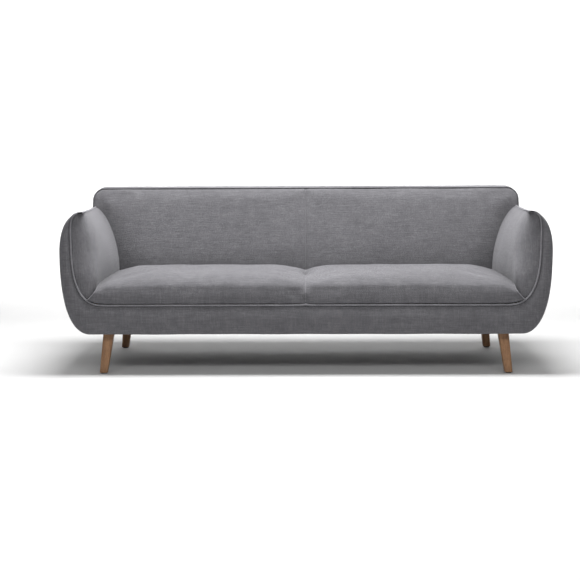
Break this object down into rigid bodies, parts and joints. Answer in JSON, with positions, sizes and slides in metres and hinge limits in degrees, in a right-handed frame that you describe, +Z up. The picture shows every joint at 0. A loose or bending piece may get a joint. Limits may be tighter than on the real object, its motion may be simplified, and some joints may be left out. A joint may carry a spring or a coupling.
{
  "type": "sofa with wooden legs",
  "caption": "Low upholstered sofa with a curved outer shell, flared padded arms, a split seat and back, piping round the seat, and splayed tapered wooden legs.",
  "frame": {"origin": "on the floor, under the middle of the whole sofa", "axes": "+Z up, the sofa faces -Y, +X to the right of someone who stands in front and faces it"},
  "size_m": [2.1, 0.8499, 0.775],
  "materials": {
    "upholstery": "matte",
    "piping": "matte",
    "leg_wood": "satin",
    "frame_wood": "matte",
    "frame_board": "matte",
    "foam": "matte",
    "felt": "matte",
    "webbing": "matte",
    "dust_cloth": "matte",
    "steel": "satin",
    "plate_steel": "satin",
    "glide_plastic": "matte"
  },
  "bodies": {
    "root": {"arm_foam_left": "foam", "arm_foam_right": "foam", "arm_front_rib_left": "frame_wood", "arm_front_rib_right": "frame_wood", "arm_inner_cover_left": "upholstery", "arm_inner_cover_right": "upholstery", "arm_outer_board_left": "frame_board", "arm_outer_board_right": "frame_board", "arm_outer_cover_left": "upholstery", "arm_outer_cover_right": "upholstery", "arm_rear_rib_left": "frame_wood", "arm_rear_rib_right": "frame_wood", "arm_top_rail_left": "frame_wood", "arm_top_rail_right": "frame_wood", "arm_welt_left": "piping", "arm_welt_right": "piping", "back_boxing": "upholstery", "back_cover_left": "upholstery", "back_cover_right": "upholstery", "back_foam_left": "foam", "back_foam_right": "foam", "back_outer_cover": "upholstery", "back_post_centre": "frame_wood", "back_post_left": "frame_wood", "back_post_right": "frame_wood", "back_top_rail": "frame_wood", "back_tuck_rail": "frame_wood", "back_webbing": "webbing", "centre_rail": "frame_wood", "corner_blocks": "frame_wood", "deck_felt": "felt", "dust_cover": "dust_cloth", "frame_bolts": "steel", "front_band_cover": "upholstery", "front_padding": "foam", "front_rail": "frame_wood", "front_welt": "piping", "hanger_bolts": "steel", "leg_front_left": "leg_wood", "leg_front_right": "leg_wood", "leg_glides": "glide_plastic", "leg_plates": "plate_steel", "leg_rear_left": "leg_wood", "leg_rear_right": "leg_wood", "plate_screws": "steel", "rear_rail": "frame_wood", "seat_cover_left": "upholstery", "seat_cover_right": "upholstery", "seat_foam_left": "foam", "seat_foam_right": "foam", "seat_springs": "steel", "side_rail_left": "frame_wood", "side_rail_right": "frame_wood", "spring_clips": "steel"}
  },
  "joints": []
}
